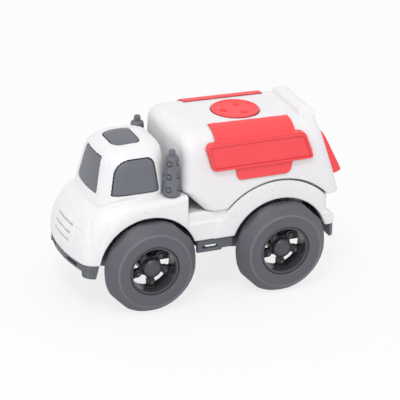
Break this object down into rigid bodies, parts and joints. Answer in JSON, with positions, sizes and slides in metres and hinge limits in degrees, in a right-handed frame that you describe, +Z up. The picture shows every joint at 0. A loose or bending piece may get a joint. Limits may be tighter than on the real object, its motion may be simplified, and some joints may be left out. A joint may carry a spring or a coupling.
{
  "type": "toy ambulance",
  "caption": "Chunky toy ambulance of moulded plastic with a hood, cab, rear box and roof disc, rolling on two axles",
  "frame": {"origin": "on the ground, midway between the axles and between the two sides", "axes": "+X forward, +Y to the toy's left side, +Z up"},
  "size_m": [0.1244, 0.06, 0.0791],
  "materials": {
    "white_plastic": "satin, sparse straw flecks",
    "red_plastic": "satin, sparse straw flecks",
    "grey_plastic": "satin, fine flecks",
    "tyre_plastic": "matt, fine flecks",
    "dark_plastic": "satin",
    "steel": "drawn wire",
    "chassis_plastic": "satin, fine flecks"
  },
  "bodies": {
    "body": {"body_shell": "white_plastic", "cab_insert": "grey_plastic", "box_shell": "white_plastic", "side_panel_left": "red_plastic", "side_panel_right": "red_plastic", "rear_panel": "red_plastic", "roof_disc": "red_plastic", "stack_left": "grey_plastic", "stack_right": "grey_plastic", "chassis": "chassis_plastic", "chassis_screws": "steel", "box_screws": "steel"},
    "front_wheels": {"front_axle": "steel", "tyre_front_left": "tyre_plastic", "tyre_front_right": "tyre_plastic", "rim_front_left": "dark_plastic", "rim_front_right": "dark_plastic"},
    "rear_wheels": {"rear_axle": "steel", "tyre_rear_left": "tyre_plastic", "tyre_rear_right": "tyre_plastic", "rim_rear_left": "dark_plastic", "rim_rear_right": "dark_plastic"}
  },
  "joints": [
    {"name": "front_axle_spin", "type": "hinge", "parent": "body", "child": "front_wheels", "pos_m": [0.03, 0, 0.02], "axis": [0, 1, 0], "continuous": true},
    {"name": "rear_axle_spin", "type": "hinge", "parent": "body", "child": "rear_wheels", "pos_m": [-0.03, 0, 0.02], "axis": [0, 1, 0], "continuous": true}
  ]
}
